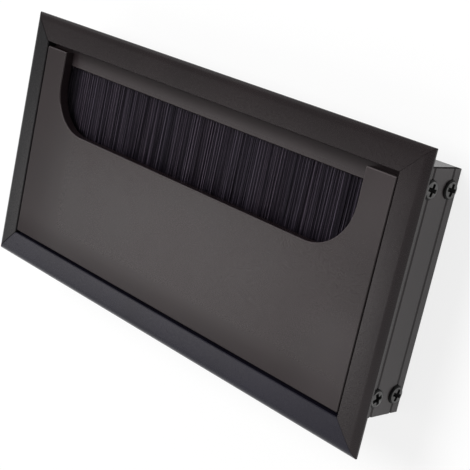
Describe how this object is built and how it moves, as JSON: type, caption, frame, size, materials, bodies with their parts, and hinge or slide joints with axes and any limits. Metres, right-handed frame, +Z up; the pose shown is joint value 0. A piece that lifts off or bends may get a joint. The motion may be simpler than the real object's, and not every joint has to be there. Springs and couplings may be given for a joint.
{
  "type": "desk cable grommet",
  "caption": "Rectangular black aluminium desk cable grommet with a mitred bezel, a flap lid with a wide cable slot and a brush across the slot.",
  "frame": {"origin": "centre of the desk cut-out, in the plane of the desk's top face that the bezel's underside rests on", "axes": "+X along the long side, +Y towards the brush side, +Z up, out of the desk"},
  "size_m": [0.16, 0.08, 0.0237],
  "materials": {
    "frame": "black anodised, satin",
    "lid": "black anodised, satin",
    "brush_holder": "plain folded strip",
    "bristles": "fine black nylon filaments",
    "screws": "blackened steel"
  },
  "bodies": {
    "frame": {"brush_side_rail": "frame", "hinge_side_rail": "frame", "left_end_rail": "frame", "right_end_rail": "frame", "brush_holder": "brush_holder", "brush_bristles": "bristles", "end_screws": "screws"},
    "lid": {"lid": "lid"}
  },
  "joints": [
    {"name": "lid_hinge", "type": "hinge", "parent": "frame", "child": "lid", "pos_m": [0, -0.02885, -0.0007], "axis": [1, 0, 0], "range_deg": [0, 100]}
  ]
}
